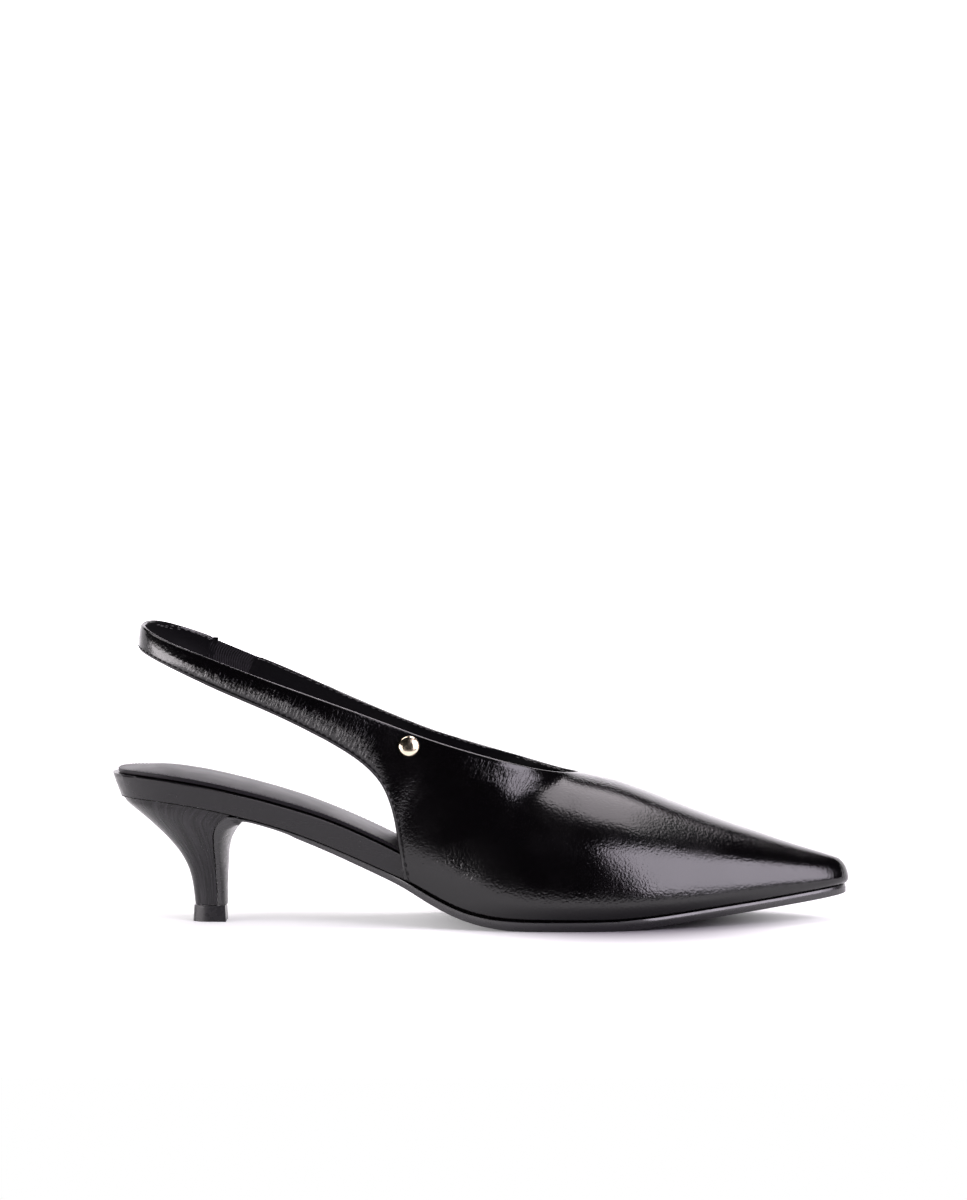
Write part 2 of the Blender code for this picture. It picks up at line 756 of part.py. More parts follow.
def make_stud(finish, frame):
    """A plain domed stud, turned about its own axis and set on the outer quarter."""
    rib = strap_rib(LATERAL, STUD_RIB)
    ahead = strap_rib(LATERAL, STUD_RIB - 0.2)
    place = rib[STUD_ROW]
    outward = (rib[STUD_ROW + 1] - place).cross(ahead[STUD_ROW] - place).normalized()
    if outward.y > 0.0:
        outward = -outward
    profile = [Vector((0.0, 0.0, 0.0)), Vector((STUD_RADIUS, 0.0, 0.0))]
    for angle in steps(0.0, math.pi / 2.0, STUD_RISE_STEPS):
        across = STUD_RADIUS * math.cos(angle)
        profile.append(Vector((across, 0.0, mixed(STUD_RIM, STUD_HEIGHT, math.sin(angle)))))
    builder = bmesh.new()
    verts = [builder.verts.new(point) for point in profile]
    lines = [builder.edges.new(pair) for pair in zip(verts, verts[1:])]
    bmesh.ops.spin(
        builder, geom=verts + lines, cent=(0.0, 0.0, 0.0), axis=(0.0, 0.0, 1.0), angle=math.tau,
        steps=STUD_STEPS, use_merge=True,
    )
    bmesh.ops.remove_doubles(builder, verts=builder.verts, dist=0.001)
    seat = Matrix.Translation(place + outward * GAP) @ outward.to_track_quat("Z", "Y").to_matrix().to_4x4()
    bmesh.ops.transform(builder, matrix=seat, verts=builder.verts)
    return add_piece("stud", builder, finish, frame)


def clear_scene():
    """Remove what the scene starts with."""
    for thing in list(bpy.data.objects):
        bpy.data.objects.remove(thing)


def centre_frame(frame, pieces):
    """Put the origin on the floor under the middle of the shoe's length and width."""
    places = [vert.co for piece in pieces for vert in piece.data.vertices]
    middle = [(min(p[i] for p in places) + max(p[i] for p in places)) / 2.0 for i in (0, 1)]
    frame.location = (-middle[0], -middle[1], 0.0)


def main():
    """Build every piece on the shoe's frame."""
    clear_scene()
    frame = bpy.data.objects.new("shoe_frame", None)
    bpy.context.scene.collection.objects.link(frame)
    leather = material("polished_black_leather", (0.012, 0.011, 0.012), 0.22)
    lining = material("black_sock_leather", (0.03, 0.028, 0.03), 0.3)
    elastic = material("black_elastic", (0.018, 0.017, 0.018), 0.75)
    resin = material("black_sole_resin", (0.025, 0.024, 0.025), 0.42)
    tip = material("black_tip_plastic", (0.02, 0.02, 0.021), 0.35)
    gold = material("pale_gold_metal", (0.83, 0.74, 0.6), 0.2, 1.0)
    pieces = [
        make_upper(leather, frame),
        make_gore(elastic, frame),
        make_insole_board(leather, frame),
        make_sock(lining, frame),
        make_outsole(resin, frame),
        make_heel(leather, frame),
        make_top_lift(tip, frame),
        make_stud(gold, frame),
    ]
    centre_frame(frame, pieces)


main()
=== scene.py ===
"""Dresses the slingback pump in leather, thread, elastic and metal, and lights it as a studio shot."""

import logging
import math
from dataclasses import dataclass, field, replace
from enum import Enum
from typing import Iterable, Iterator

import bmesh
import bpy
from bmesh.types import BMEdge, BMesh, BMFace, BMVert
from bpy.types import Material, Node, NodeSocket as Socket, Object
from mathutils import Matrix, Vector
from mathutils.bvhtree import BVHTree
from mathutils.kdtree import KDTree


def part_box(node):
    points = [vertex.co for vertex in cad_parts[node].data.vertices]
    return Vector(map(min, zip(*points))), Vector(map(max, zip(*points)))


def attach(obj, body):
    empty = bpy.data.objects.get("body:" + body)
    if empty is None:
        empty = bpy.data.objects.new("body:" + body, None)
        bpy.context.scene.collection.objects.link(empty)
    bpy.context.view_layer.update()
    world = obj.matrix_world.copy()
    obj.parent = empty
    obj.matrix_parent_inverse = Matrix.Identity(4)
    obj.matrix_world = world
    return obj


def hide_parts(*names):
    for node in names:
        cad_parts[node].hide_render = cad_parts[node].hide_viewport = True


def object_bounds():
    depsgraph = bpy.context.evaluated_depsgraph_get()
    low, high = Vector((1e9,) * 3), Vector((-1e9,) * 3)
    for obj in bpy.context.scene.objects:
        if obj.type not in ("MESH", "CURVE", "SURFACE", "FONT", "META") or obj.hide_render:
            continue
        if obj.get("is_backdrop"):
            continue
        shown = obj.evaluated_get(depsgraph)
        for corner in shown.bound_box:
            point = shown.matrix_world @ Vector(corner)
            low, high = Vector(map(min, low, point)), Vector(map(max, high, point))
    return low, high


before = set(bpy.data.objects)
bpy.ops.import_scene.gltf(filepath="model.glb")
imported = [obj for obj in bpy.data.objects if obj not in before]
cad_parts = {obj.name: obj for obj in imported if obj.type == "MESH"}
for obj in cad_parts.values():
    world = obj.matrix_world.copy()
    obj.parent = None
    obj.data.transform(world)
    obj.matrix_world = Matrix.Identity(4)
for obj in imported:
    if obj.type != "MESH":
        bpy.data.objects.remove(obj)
CAD_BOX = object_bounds()

LOG = logging.getLogger("slingback_pump")
MM = 0.001
HEEL_BACK = -129.4 * MM
WELD = 0.002 * MM
SHARP = math.radians(52)
JOIN_BEND = math.radians(40)
JOIN_SHAPE = math.radians(150)
FINE_STEP = 0.3 * MM

Pair = tuple[float, float]
Triple = tuple[float, float, float]
Colour = Triple
Place = Triple
WHITE: Colour = (1.0, 1.0, 1.0)


class Side(Enum):
    """The faces of the upper's wall, by material slot."""

    LEATHER = 0
    LINING = 1
    RIM = 2


class Edge(Enum):
    """The stretches of the upper's edge between its corners, without the short ends at the gore."""

    LOW_LATERAL = "lower edge from the outer sole corner round the heel to the gore"
    LOW_MEDIAL = "lower edge from the gore to the inner sole corner"
    TOP_LATERAL = "topline from the gore round the heel to the throat"
    TOP_MEDIAL = "topline from the throat to the gore"
    SOLE = "edge that stands on the sole"


def from_heel(x: float) -> float:
    """Turn millimetres in front of the heel's back into a place along the frame's X."""
    return HEEL_BACK + x * MM


def heel_distance(place: Vector) -> float:
    """Give the millimetres that a place is in front of the heel's back."""
    return (place.x - HEEL_BACK) / MM


@dataclass(frozen=True)
class Ramp:
    """A smooth step from 0 at its start to 1 at its end."""

    start: float
    end: float

    def at(self, value: float) -> float:
        """Give the height of the step at a value."""
        part = min(max((value - self.start) / (self.end - self.start), 0.0), 1.0)
        return part * part * (3 - 2 * part)


MOST_NOISE = Ramp(0.3, 0.7)
MIDDLE_NOISE = Ramp(0.35, 0.65)


def mixed(first: float, second: float, part: float) -> float:
    """Go part of the way from the first number to the second."""
    return first + (second - first) * part


class Shader:
    """A principled material while its nodes are put together."""

    def __init__(self, name: str, colour: Colour, roughness: float) -> None:
        """Start a plain material.

        Args:
            name: name of the material.
            colour: linear base colour.
            roughness: roughness where nothing varies it.
        """
        self.material = bpy.data.materials.new(name)
        self.material.use_nodes = True
        self.nodes = self.material.node_tree.nodes
        self.links = self.material.node_tree.links
        self.surface = next(n for n in self.nodes if n.type == "BSDF_PRINCIPLED")
        self.normal: Socket | None = None
        self.set("Base Color", (*colour, 1.0))
        self.set("Roughness", roughness)
        self.place = self.nodes.new("ShaderNodeTexCoord").outputs["Object"]

    def set(self, socket: str, value: object) -> None:
        """Give a socket of the surface a constant."""
        self.surface.inputs[socket].default_value = value

    def node(self, kind: str, inputs: dict[str | int, object]) -> Node:
        """Add a node.

        Args:
            kind: type of the node.
            inputs: sockets to link and constants to set, by the name or number of the input.

        Returns:
            The node.
        """
        node = self.nodes.new(kind)
        for name, value in inputs.items():
            if isinstance(value, Socket):
                self.links.new(value, node.inputs[name])
            else:
                node.inputs[name].default_value = value
        return node

    def stretched(self, stretch: Triple, tilt: float = 0.0, place: Socket | None = None) -> Socket:
        """Turn coordinates about Y, then stretch them.

        Args:
            stretch: factors along the turned X, Y and Z.
            tilt: turn about Y in radians.
            place: coordinates, the object's own if left out.

        Returns:
            Socket of the new coordinates.
        """
        turned = self.node("ShaderNodeMapping", {"Vector": place or self.place, "Rotation": (0.0, tilt, 0.0)})
        scaled = self.node("ShaderNodeMapping", {"Vector": turned.outputs["Vector"], "Scale": stretch})
        return scaled.outputs["Vector"]

    def noise(self, scale: float, detail: float = 2.0, warp: float = 0.0,
              place: Socket | None = None) -> Socket:
        """Add cloudy noise.

        Args:
            scale: clouds per metre.
            detail: octaves of finer clouds.
            warp: how far the clouds are bent.
            place: coordinates, the object's own if left out.

        Returns:
            Socket of the noise, about 0.5 on average.
        """
        return self.node("ShaderNodeTexNoise", {"Vector": place or self.place, "Scale": scale, "Detail": detail,
                                                "Distortion": warp}).outputs["Fac"]

    def creases(self, scale: float) -> Socket:
        """Add a net of fine creases.

        Args:
            scale: cells per metre.

        Returns:
            Socket that is 0 in a crease and rises towards the middle of a cell.
        """
        node = self.node("ShaderNodeTexVoronoi", {"Vector": self.place, "Scale": scale})
        node.feature = "DISTANCE_TO_EDGE"
        return node.outputs["Distance"]

    def attribute(self, name: str, output: str = "Fac") -> Socket:
        """Read a number, or with the output Vector a place, that the mesh carries at each vertex.

        Args:
            name: name of the attribute.
            output: output of the node.

        Returns:
            Socket of the attribute.
        """
        node = self.nodes.new("ShaderNodeAttribute")
        node.attribute_name = name
        return node.outputs[output]

    def ranged(self, value: Socket, span: Ramp, low: float, high: float) -> Socket:
        """Map a value smoothly from a span to another range.

        Args:
            value: socket to map.
            span: values that give low and high.
            low: result at the span's start.
            high: result at the span's end.

        Returns:
            Socket of the mapped value.
        """
        node = self.node("ShaderNodeMapRange", {"Value": value, "From Min": span.start, "From Max": span.end,
                                                "To Min": low, "To Max": high})
        node.interpolation_type = "SMOOTHSTEP"
        return node.outputs["Result"]

    def maths(self, operation: str, first: Socket, second: Socket | float) -> Socket:
        """Join a value with another value or a number.

        Args:
            operation: name of the arithmetic.
            first: socket of the first value.
            second: socket or number of the second value.

        Returns:
            Socket of the result.
        """
        node = self.node("ShaderNodeMath", {0: first, 1: second})
        node.operation = operation
        return node.outputs["Value"]

    def bump(self, height: Socket, depth: float, sunk: bool = False) -> None:
        """Raise the surface over what is there already.

        Args:
            height: socket of the height from 0 to 1.
            depth: height of 1 in metres.
            sunk: whether the height goes inwards.
        """
        node = self.node("ShaderNodeBump", {"Height": height, "Strength": 1.0, "Distance": depth})
        node.invert = sunk
        if self.normal is not None:
            self.links.new(self.normal, node.inputs["Normal"])
        self.normal = node.outputs["Normal"]
        self.vary("Normal", self.normal)

    def vary(self, socket: str, value: Socket) -> None:
        """Let a value drive a socket of the surface."""
        self.links.new(value, self.surface.inputs[socket])

    def tint(self, value: Socket, low: Colour, high: Colour) -> None:
        """Shade the base colour between two colours.

        Args:
            value: socket from 0 to 1.
            low: colour at 0.
            high: colour at 1.
        """
        node = self.node("ShaderNodeMix", {"Factor": value})
        node.data_type = "RGBA"
        first, second = (s for s in node.inputs if s.type == "RGBA")
        first.default_value, second.default_value = (*low, 1.0), (*high, 1.0)
        self.vary("Base Color", next(s for s in node.outputs if s.type == "RGBA"))


@dataclass(frozen=True)
class Finish:
    """What every finish states; the spread is how far its roughness falls and rises."""

    name: str
    colour: Colour
    roughness: float
    gloss: float
    spread: Pair = (0.05, 0.08)

    def shaded(self, factor: float) -> Colour:
        """Multiply the base colour."""
        red, green, blue = self.colour
        return factor * red, factor * green, factor * blue

    def patch(self, shader: Shader, clouds: Socket, span: Ramp = MOST_NOISE) -> None:
        """Let clouds make the surface smoother and rougher in patches."""
        low, high = self.roughness - self.spread[0], self.roughness + self.spread[1]
        shader.vary("Roughness", shader.ranged(clouds, span, low, high))

    def dress(self, shader: Shader) -> None:
        """Add this finish's own nodes to its material."""
        raise NotImplementedError

    def material(self) -> Material:
        """Make the material.

        Returns:
            The material.
        """
        shader = Shader(self.name, self.colour, self.roughness)
        shader.set("Specular IOR Level", self.gloss)
        self.dress(shader)
        return shader.material


@dataclass(frozen=True)
class PolishedLeather(Finish):
    """Brushed-off calf leather: glossy, finely grained, crinkled where it bends.

    Scales count noise per metre; the seam's margin and half width are in millimetres.
    """

    spread: Pair = (0.03, 0.04)
    patch_scale: float = 60.0
    grain: float = 0.07 * MM
    grain_scale: float = 1150.0
    crease_share: float = 0.5
    crease_scale: float = 800.0
    crinkle: float = 0.65 * MM
    crinkle_stretch: Triple = (1250.0, 350.0, 280.0)
    crinkle_swirl: float = 0.6
    strap_slope: float = math.radians(-23)
    sway: float = 0.1 * MM
    sway_scale: float = 38.0
    seam: float = 0.55 * MM
    seam_margin: float = 2.2
    seam_half: float = 0.22

    def dress(self, shader: Shader) -> None:
        """Add the grain, the crinkles and the stitch channel.

        Args:
            shader: material that takes them.
        """
        shader.bump(shader.noise(self.sway_scale), self.sway)
        across = shader.stretched(self.crinkle_stretch, self.strap_slope)
        wrinkles = shader.noise(1.0, detail=3.0, warp=self.crinkle_swirl, place=across)
        shader.bump(shader.maths("MULTIPLY", wrinkles, shader.attribute("crinkle")), self.crinkle)
        shader.bump(shader.noise(self.grain_scale), self.grain)
        shader.bump(shader.creases(self.crease_scale), self.crease_share * self.grain)
        offset = shader.maths("SUBTRACT", shader.attribute("margin"), self.seam_margin)
        away = shader.maths("ABSOLUTE", offset, 0.0)
        shader.bump(shader.ranged(away, Ramp(0.0, self.seam_half), 1.0, 0.0), self.seam, sunk=True)
        self.patch(shader, shader.noise(self.patch_scale, detail=3.0), MIDDLE_NOISE)


@dataclass(frozen=True)
class Lining(Finish):
    """Matte lining leather."""

    spread: Pair = (0.07, 0.07)
    patch_scale: float = 120.0
    grain: float = 0.03 * MM
    grain_scale: float = 900.0

    def dress(self, shader: Shader) -> None:
        """Add the grain and the patches."""
        shader.bump(shader.noise(self.grain_scale, detail=3.0), self.grain)
        self.patch(shader, shader.noise(self.patch_scale))


@dataclass(frozen=True, kw_only=True)
class Streaked(Finish):
    """A covered or moulded surface with streaks drawn out along the object or a vector attribute."""

    stretch: Triple
    relief: float
    swirl: float
    follows: str | None = None
    streak: float = 1.0

    def dress(self, shader: Shader) -> None:
        """Add the streaks.

        Args:
            shader: material that takes them.
        """
        place = shader.attribute(self.follows, "Vector") if self.follows else None
        drawn = shader.stretched(self.stretch, place=place)
        streaks = shader.noise(1.0, detail=3.0, warp=self.swirl, place=drawn)
        shader.bump(streaks, self.relief)
        shader.tint(shader.ranged(streaks, MIDDLE_NOISE, 0.0, 1.0), self.colour, self.shaded(self.streak))
        self.patch(shader, streaks)


@dataclass(frozen=True)
class WovenElastic(Finish):
    """Covered rubber threads with a dull, slightly fuzzy face, and painted shade in the rib grooves and a
    painted highlight on the crests.
    """

    yarn: float = 0.03 * MM
    yarn_stretch: Triple = (500.0, 500.0, 3200.0)
    yarn_span: Ramp = Ramp(0.2, 0.8)
    yarn_shade: float = 0.5
    # the groove factor darkens the base colour in the rib grooves as painted shade; the next factor lightens it
    # on the crests as a painted highlight
    groove: float = 0.02
    ridge_highlight: float = 5.0

    def dress(self, shader: Shader) -> None:
        """Add the yarn, and the painted shade in the rib grooves and the painted highlight on the crests.

        Args:
            shader: material that takes them.
        """
        yarn = shader.noise(1.0, place=shader.stretched(self.yarn_stretch))
        shader.bump(yarn, self.yarn)
        fuzz = shader.ranged(yarn, self.yarn_span, self.yarn_shade, 1.0)
        # painted rib light: the yarn tone times the rib wave picks a colour from the painted groove shade to
        # the painted crest highlight
        shade = shader.maths("MULTIPLY", fuzz, shader.attribute("rib"))
        shader.tint(shade, self.shaded(self.groove), self.shaded(self.ridge_highlight))


@dataclass(frozen=True)
class Metal(Finish):
    """Polished metal with faint wear."""

    wear: float = 0.004 * MM
    wear_scale: float = 500.0

    def dress(self, shader: Shader) -> None:
        """Add the metal's shine and wear.

        Args:
            shader: material that takes them.
        """
        shader.set("Metallic", 1.0)
        clouds = shader.noise(self.wear_scale, detail=3.0)
        shader.bump(clouds, self.wear)
        self.patch(shader, clouds)


LEATHER = PolishedLeather("polished_leather", (0.0012, 0.001, 0.0013), 0.15, 0.5)
FOLD = replace(LEATHER, name="folded_leather", gloss=0.75)
LINING = Lining("lining_leather", (0.0025, 0.0022, 0.003), 0.5, 0.05)
SOCK = Lining("sock_leather", (0.012, 0.011, 0.013), 0.38, 0.08, (0.02, 0.02), grain=0.006 * MM)
RAND = Streaked("rand_lacquer", (0.004, 0.0035, 0.0045), 0.3, 0.4,
                stretch=(60.0, 300.0, 400.0), relief=0.004 * MM, swirl=0.3)
SOLE = Streaked("sole_resin", (0.006, 0.0055, 0.0065), 0.28, 0.8,
                stretch=(120.0, 500.0, 500.0), relief=0.008 * MM, swirl=0.4)
HEEL_COVER = Streaked("heel_cover", (0.002, 0.0018, 0.0022), 0.28, 0.34,
                      stretch=(20.0, 2.4, 1.0), relief=0.05 * MM, swirl=0.6, follows="flow", streak=6.0)
LIFT = Streaked("lift_plastic", (0.012, 0.0115, 0.013), 0.27, 0.28,
                stretch=(400.0, 400.0, 400.0), relief=0.01 * MM, swirl=0.0)
THREAD = Streaked("black_thread", (0.003, 0.0028, 0.0034), 0.5, 0.12,
                  stretch=(900.0, 900.0, 900.0), relief=0.01 * MM, swirl=0.5)
WAXED_THREAD = replace(THREAD, name="waxed_thread", colour=(0.008, 0.0075, 0.009), roughness=0.3, gloss=0.9)
ELASTIC = WovenElastic("woven_elastic", (0.005, 0.0045, 0.0055), 0.8, 0.1)
GOLD = Metal("pale_gold", (0.83, 0.72, 0.55), 0.18, 0.5)


def copied(node: str) -> BMesh:
    """Copy a CAD solid's mesh, welded, with its triangle pairs joined.

    Args:
        node: name of the CAD node.

    Returns:
        The copy, for new pieces.
    """
    builder = bmesh.new()
    builder.from_mesh(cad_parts[node].data)
    bmesh.ops.remove_doubles(builder, verts=builder.verts, dist=WELD)
    bmesh.ops.join_triangles(builder, faces=builder.faces, angle_face_threshold=JOIN_BEND,
                             angle_shape_threshold=JOIN_SHAPE)
    builder.normal_update()
    return builder


def surface_of(node: str) -> BVHTree:
    """Make a CAD solid's surface ready for rays."""
    return BVHTree.FromBMesh(copied(node))


def bent_edges(builder: BMesh, angle: float = SHARP) -> list[BMEdge]:
    """Find the edges whose faces meet at more than an angle."""
    return [e for e in builder.edges if e.calc_face_angle(0.0) > angle]


def patches(builder: BMesh) -> list[set[BMFace]]:
    """Split the faces along the sharp edges.

    Args:
        builder: mesh to split.

    Returns:
        Sets of faces, the set of the largest area first.
    """
    sharp, seen, found = set(bent_edges(builder)), set(), []
    for start in builder.faces:
        if start in seen:
            continue
        patch, front = {start}, [start]
        while front:
            for edge in front.pop().edges:
                fresh = [f for f in edge.link_faces if f not in patch and edge not in sharp]
                patch.update(fresh)
                front.extend(fresh)
        seen |= patch
        found.append(patch)
    return sorted(found, key=lambda patch: -sum(f.calc_area() for f in patch))

def top_patch(builder: BMesh) -> set[BMFace]:
    """Find the largest patch that faces up."""
    return next(p for p in patches(builder) if sum(f.normal.z * f.calc_area() for f in p) > 0)


def rounded(builder: BMesh, edges: list[BMEdge], width: float, segments: int = 2,
            clamped: bool = True) -> None:
    """Round edges off from a width in; clamped, the narrowest place limits the width everywhere."""
    bmesh.ops.bevel(builder, geom=edges, offset=width, offset_type="OFFSET", segments=segments, profile=0.5,
                    affect="EDGES", clamp_overlap=clamped, material=-1)


def smoothed(builder: BMesh, levels: int) -> BMesh:
    """Subdivide a mesh into a smooth one.

    Args:
        builder: mesh to smooth, which is used up.
        levels: how often each face is divided.

    Returns:
        The smooth mesh.
    """
    thing = placed("smoothing", builder, [])
    mesh = thing.data
    modifier = thing.modifiers.new("smooth", "SUBSURF")
    modifier.levels = modifier.render_levels = levels
    result = bmesh.new()
    result.from_object(thing, bpy.context.evaluated_depsgraph_get())
    bpy.data.objects.remove(thing)
    bpy.data.meshes.remove(mesh)
    result.normal_update()
    return result


def placed(name: str, builder: BMesh, materials: Iterable[Material]) -> Object:
    """Put a mesh into the scene.

    Args:
        name: name of the new object.
        builder: mesh, which is used up.
        materials: materials in the order of their slots.

    Returns:
        The object, at the origin.
    """
    mesh = bpy.data.meshes.new(name)
    builder.to_mesh(mesh)
    builder.free()
    mesh.shade_smooth()
    for material in materials:
        mesh.materials.append(material)
    thing = bpy.data.objects.new(name, mesh)
    bpy.context.scene.collection.objects.link(thing)
    return thing


@dataclass(frozen=True)
class EdgePoint:
    """A place on the edge of a patch, the way into the patch, and the patch's normal there."""

    place: Vector
    inward: Vector
    normal: Vector


class EdgeLoop:
    """The closed edge of a patch of faces, walked round once."""

    def __init__(self, patch: set[BMFace]) -> None:
        """Walk the edge of a patch.

        Args:
            patch: faces whose edge is one closed loop.
        """
        edges = [e for f in sorted(patch, key=lambda f: f.index) for e in f.edges
                 if sum(g in patch for g in e.link_faces) == 1]
        near: dict[BMVert, list[BMEdge]] = {}
        for edge in edges:
            for vert in edge.verts:
                near.setdefault(vert, []).append(edge)
        loop, edge = [edges[0].verts[0]], edges[0]
        while True:
            vert = edge.other_vert(loop[-1])
            if vert is loop[0]:
                break
            loop.append(vert)
            edge = next(e for e in near[vert] if e is not edge)
        self.points = [self.point(vert, patch) for vert in loop]

    @staticmethod
    def point(vert: BMVert, patch: set[BMFace]) -> EdgePoint:
        """Describe a vertex of the edge.

        Args:
            vert: vertex on the edge.
            patch: faces that the edge bounds.

        Returns:
            The vertex as an edge point.
        """
        faces = [f for f in vert.link_faces if f in patch]
        normal = sum((f.normal for f in faces), Vector()).normalized()
        middle = sum((f.calc_center_median() for f in faces), Vector()) / len(faces)
        inward = middle - vert.co
        inward -= normal * inward.dot(normal)
        return EdgePoint(vert.co.copy(), inward.normalized(), normal)

    def sections(self, corner: float) -> list[list[EdgePoint]]:
        """Cut the loop at its corners.

        Args:
            corner: least turn of a corner in radians.

        Returns:
            Stretches of the loop, each with both of its corners.
        """
        points, count = self.points, len(self.points)
        corners = [i for i in range(count)
                   if (points[i].place - points[i - 1].place).angle(
                       points[(i + 1) % count].place - points[i].place) > corner]
        return [[points[i % count] for i in range(start, (end if end > start else end + count) + 1)]
                for start, end in zip(corners, corners[1:] + corners[:1])]


def gathered(places: list[Vector]) -> KDTree:
    """Put places into a tree that finds the nearest one.

    Args:
        places: the places, each found again by its number.

    Returns:
        The balanced tree.
    """
    found = KDTree(len(places))
    for i, place in enumerate(places):
        found.insert(place, i)
    found.balance()
    return found


def walked(path: list[EdgePoint], pitch: float) -> Iterator[EdgePoint]:
    """Walk a path in even steps.

    Args:
        path: points to walk along.
        pitch: length of a step.

    Yields:
        Edge points between those of the path.
    """
    rest = pitch / 2
    for first, second in zip(path, path[1:]):
        length = (second.place - first.place).length
        while rest < length:
            part = rest / length
            yield EdgePoint(first.place.lerp(second.place, part), first.inward.lerp(second.inward, part),
                            first.normal.lerp(second.normal, part))
            rest += pitch
        rest -= length


@dataclass
class StitchRow:
    """A row of lockstitches that runs beside an edge.

    It lies a margin inside its path, on the path's own side or, with above less than 0, on the far side.
    """

    path: list[EdgePoint]
    margin: float
    pitch: float = 2.3 * MM
    length: float = 1.75 * MM
    width: float = 0.34 * MM
    above: float = 0.4 * MM
    lift: float = 0.03 * MM

    def sew(self, builder: BMesh, ground: BVHTree) -> None:
        """Add the stitches to a mesh.

        Args:
            builder: mesh that takes the stitches.
            ground: surface that they lie on.
        """
        size = Matrix.Diagonal((self.length / 2, self.width / 2, self.width / 2, 1.0))
        points = list(walked(self.path, self.pitch))
        for before, point, after in zip(points, points[1:], points[2:]):
            inside = point.place + point.inward.normalized() * self.margin
            hit, normal, _, _ = ground.find_nearest(inside + point.normal.normalized() * self.above)
            along = (after.place - before.place).normalized()
            along = (along - normal * along.dot(normal)).normalized()
            axes = Matrix((along, normal.cross(along), normal)).transposed().to_4x4()
            bmesh.ops.create_uvsphere(builder, u_segments=6, v_segments=5, radius=1.0,
                                      matrix=Matrix.Translation(hit + normal * self.lift) @ axes @ size)


def sewn(name: str, rows: Iterable[StitchRow], ground: BVHTree, thread: Finish) -> Object:
    """Sew rows of stitches as one object.

    Args:
        name: name of the new object.
        rows: rows to sew.
        ground: surface that they lie on.
        thread: finish of the thread.

    Returns:
        The object, at the origin.
    """
    builder = bmesh.new()
    for row in rows:
        row.sew(builder, ground)
    return placed(name, builder, [thread.material()])


@dataclass
class Piece:
    """A piece that stands for one CAD solid: its mesh rounded, smoothed and given a finish."""

    node: str
    finish: Finish
    rounding: float = 0.3 * MM
    levels: int = 2

    def shape(self) -> BMesh:
        """Round and smooth the solid.

        Returns:
            The mesh of the piece.
        """
        builder = copied(self.node)
        rounded(builder, bent_edges(builder), self.rounding)
        return smoothed(builder, self.levels)

    def declare(self, thing: Object) -> Object:
        """Tie a finished object to the frame.

        Args:
            thing: object in place.

        Returns:
            The same object.
        """
        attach(thing, "root")
        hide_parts(self.node)
        return thing

    def build(self) -> list[Object]:
        """Make the objects of the piece."""
        return [self.declare(placed(self.node + "_shown", self.shape(), [self.finish.material()]))]


@dataclass(frozen=True)
class Wear:
    """How the leather of the upper is crinkled, crowned and leaned.

    Ramps run from the heel's back, strap_foot from the floor, calm_edge and slack_depth from an edge, all in
    millimetres, and calm_top from 0 at the lower edge to 1 at the topline.
    """

    strap_front: Ramp = Ramp(84.0, 104.0)
    strap_foot: Ramp = Ramp(44.0, 58.0)
    bend_back: Ramp = Ramp(18.0, 32.0)
    bend_front: Ramp = Ramp(88.0, 100.0)
    calm_edge: Ramp = Ramp(0.8, 2.4)
    calm_low: float = 1.0 * MM
    calm_top: Ramp = Ramp(0.5, 0.75)
    calm_share: float = 0.7
    throat: Pair = (170.0, 50.0)
    pull_reach: float = 10.0
    pull_share: float = 0.55
    slack_back: Ramp = Ramp(118.0, 128.0)
    slack_front: Ramp = Ramp(146.0, 154.0)
    slack_depth: Ramp = Ramp(5.0, 12.0)
    slack_share: float = 0.5
    crown: float = 0.45 * MM
    crown_front: Ramp = Ramp(40.0, 62.0)
    crown_least: float = 0.25
    hollow_end: Ramp = Ramp(3.0, 13.0)
    hollow: float = 2.0
    tilt: float = 1.9 * MM
    tilt_inner: Ramp = Ramp(52.0, 70.0)
    tilt_outer: Ramp = Ramp(40.0, 62.0)

    def strap(self, place: Vector) -> float:
        """Tell from 0 to 1 how far a place belongs to the strap."""
        return (1 - self.strap_front.at(heel_distance(place))) * self.strap_foot.at(place.z / MM)

    def crinkle(self, place: Vector, to_low: float, to_top: float) -> float:
        """Tell how strongly the leather is crinkled where it bends, round the throat and under the topline.

        Args:
            place: place on the wall.
            to_low: distance to the lower edges.
            to_top: distance to the topline.

        Returns:
            Share of the deepest crinkles, from 0 to 1.
        """
        x, part = heel_distance(place), to_low / (to_low + to_top)
        inside = self.calm_edge.at(min(to_low - self.calm_low, to_top) / MM)
        bend = self.strap(place) * self.bend_back.at(x) * (1 - self.bend_front.at(x))
        bend *= 1 - self.calm_share * self.calm_top.at(part)
        throat = Vector((from_heel(self.throat[0]), 0.0, self.throat[1] * MM))
        pull = math.exp(-(((place - throat).length / MM) / self.pull_reach) ** 2)
        slack = self.slack_back.at(x) * (1 - self.slack_front.at(x)) * (1 - self.slack_depth.at(to_top / MM))
        return inside * max(bend, self.pull_share * pull, self.slack_share * slack)

    def rise(self, place: Vector, part: float) -> float:
        """Tell how far the strap's wall moves out: crowned, hollow at its back and leaning in front.

        Args:
            place: place on the wall.
            part: share of the way from the lower edge to the topline.

        Returns:
            The way outwards.
        """
        x, strap = heel_distance(place), self.strap(place)
        turn = mixed(self.crown_least, 1.0, self.crown_front.at(x)) - self.hollow * (1 - self.hollow_end.at(x))
        lean = strap * (self.tilt_inner if place.y > 0 else self.tilt_outer).at(x)
        return strap * turn * self.crown * 4 * part * (1 - part) + lean * self.tilt * (part - 0.5)


